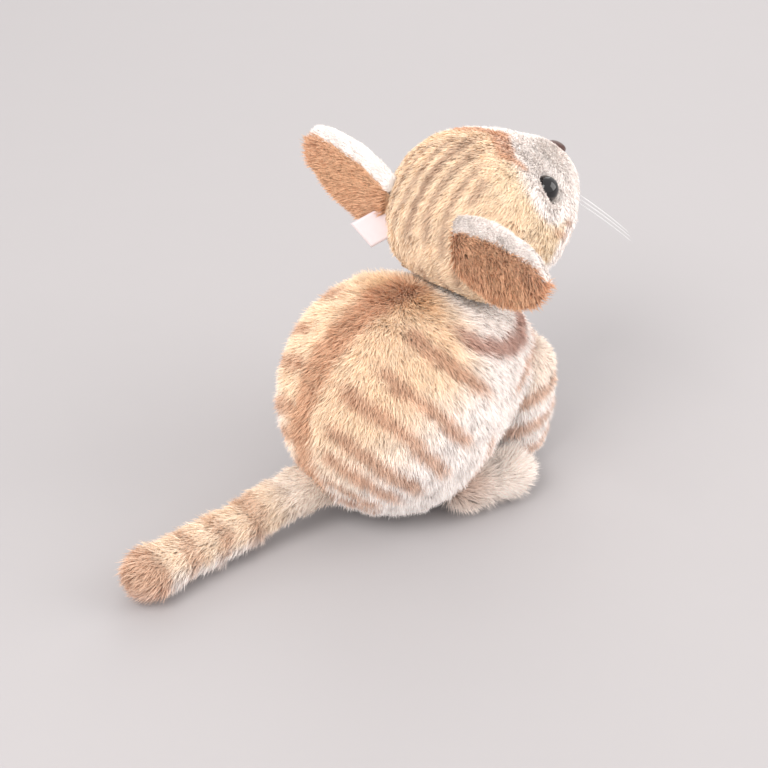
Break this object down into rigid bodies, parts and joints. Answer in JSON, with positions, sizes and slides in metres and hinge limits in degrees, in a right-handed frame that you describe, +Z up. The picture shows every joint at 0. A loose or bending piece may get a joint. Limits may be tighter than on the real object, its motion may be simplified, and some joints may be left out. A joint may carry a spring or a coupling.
{
  "type": "plush cat",
  "caption": "Small seated plush cat with striped pile fabric, folding ears, a head that turns on its sewn neck, and a tail that swings and lifts.",
  "frame": {"origin": "centre of the flat seat, on the floor", "axes": "+Z up, the cat faces -Y, its left side is +X, so its right side is -X"},
  "size_m": [0.1018, 0.1605, 0.1055],
  "materials": {
    "striped_pile": "short pile, golden brown stripes on sand",
    "cream_pile": "short pile, cream white",
    "ginger_pile": "short pile, ginger brown with dark tips",
    "stuffing": "loose white fibre",
    "eye_black": "polished",
    "washer": "matte",
    "nose_brown": "satin",
    "thread": "thread",
    "whisker": "clear filament",
    "satin": "satin weave, blank"
  },
  "bodies": {
    "torso": {"body_panel_left": "striped_pile", "body_panel_right": "striped_pile", "belly_panel": "cream_pile", "base_panel": "cream_pile", "body_stuffing": "stuffing", "front_leg_left": "striped_pile", "front_leg_right": "striped_pile", "front_leg_stuffing_left": "stuffing", "front_leg_stuffing_right": "stuffing", "hind_foot_left": "cream_pile", "hind_foot_right": "cream_pile", "hind_foot_stuffing_left": "stuffing", "hind_foot_stuffing_right": "stuffing"},
    "head": {"head_gusset": "striped_pile", "head_panel_left": "striped_pile", "head_panel_right": "striped_pile", "muzzle_panel": "cream_pile", "head_stuffing": "stuffing", "eye_left": "eye_black", "eye_right": "eye_black", "eye_washer_left": "washer", "eye_washer_right": "washer", "nose": "nose_brown", "mouth_stitch": "thread", "whiskers_left": "whisker", "whiskers_right": "whisker", "label_tag": "satin"},
    "ear_left": {"ear_outer_left": "ginger_pile", "ear_inner_left": "cream_pile"},
    "ear_right": {"ear_outer_right": "ginger_pile", "ear_inner_right": "cream_pile"},
    "tail_base": {"tail_root_skin": "striped_pile", "tail_root_stuffing": "stuffing"},
    "tail_end": {"tail_end_skin": "striped_pile", "tail_end_stuffing": "stuffing"}
  },
  "joints": [
    {"name": "head_turn", "type": "hinge", "parent": "torso", "child": "head", "pos_m": [0, -0.0235, 0.062], "axis": [0, -0.5736, 0.8192], "range_deg": [-30, 30], "stiffness_Nm_per_rad": 0.02},
    {"name": "ear_left_fold", "type": "hinge", "parent": "head", "child": "ear_left", "pos_m": [0.02044, -0.01804, 0.086], "axis": [-0.1384, 0.0145, 0.9903], "range_deg": [-10, 30], "stiffness_Nm_per_rad": 0.003},
    {"name": "ear_right_fold", "type": "hinge", "parent": "head", "child": "ear_right", "pos_m": [-0.01636, -0.01417, 0.086], "axis": [0.1384, -0.0145, 0.9903], "range_deg": [-30, 10], "stiffness_Nm_per_rad": 0.003},
    {"name": "tail_swing", "type": "hinge", "parent": "torso", "child": "tail_base", "pos_m": [0.007, 0.0336, 0.012], "axis": [0, 0, 1], "range_deg": [-35, 35], "stiffness_Nm_per_rad": 0.004},
    {"name": "tail_lift", "type": "hinge", "parent": "tail_base", "child": "tail_end", "pos_m": [0.0105, 0.047, 0.008], "axis": [0.9962, -0.0872, 0], "range_deg": [0, 40], "stiffness_Nm_per_rad": 0.006}
  ]
}
